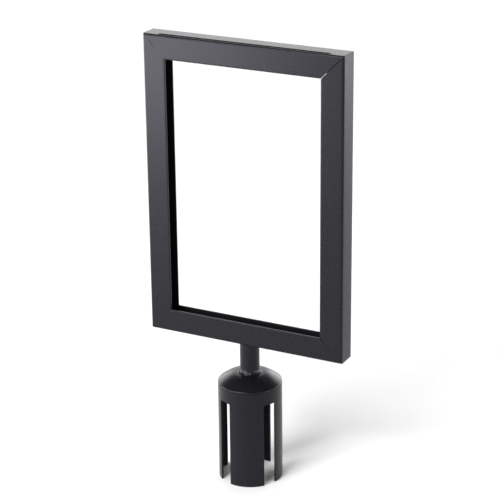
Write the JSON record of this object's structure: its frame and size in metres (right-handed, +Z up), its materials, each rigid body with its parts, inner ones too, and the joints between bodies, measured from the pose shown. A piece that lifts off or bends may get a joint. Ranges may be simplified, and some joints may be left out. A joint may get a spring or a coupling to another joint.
{
  "type": "post-top sign frame",
  "caption": "Portrait sign frame of folded black steel with a see-through window and a top slot, on a short swivelling stem over a domed collar with open slots.",
  "frame": {"origin": "on the collar's axis, at the level of the legs' lower ends", "axes": "+Z up along the swivel axis, -Y out of the window's front face, +X along the bottom rail"},
  "size_m": [0.2286, 0.0698, 0.4883],
  "materials": {
    "black_powder_coat": "satin black powder coat with a fine orange-peel texture",
    "zinc_plated_steel": "bright zinc plate",
    "black_nylon": "moulded black nylon"
  },
  "bodies": {
    "slip_on_collar": {"collar": "black_powder_coat", "domed_cap": "black_powder_coat", "cap_weld": "black_powder_coat", "swivel_bush": "black_nylon", "lower_washer": "zinc_plated_steel"},
    "swivel_frame": {"bottom_rail": "black_powder_coat", "top_rail": "black_powder_coat", "left_stile": "black_powder_coat", "right_stile": "black_powder_coat", "corner_weld_top_left": "black_powder_coat", "corner_weld_top_right": "black_powder_coat", "corner_weld_bottom_left": "black_powder_coat", "corner_weld_bottom_right": "black_powder_coat", "insert_guide_left": "black_powder_coat", "insert_guide_right": "black_powder_coat", "insert_guide_bottom": "black_powder_coat", "stem": "black_powder_coat", "stem_top_weld": "black_powder_coat", "stem_foot": "black_powder_coat", "stem_plug": "zinc_plated_steel", "swivel_bolt": "zinc_plated_steel", "spring_washer": "zinc_plated_steel"}
  },
  "joints": [
    {"name": "frame_swivel", "type": "hinge", "parent": "slip_on_collar", "child": "swivel_frame", "pos_m": [0, 0, 0.1232], "axis": [0, 0, 1], "continuous": true}
  ]
}
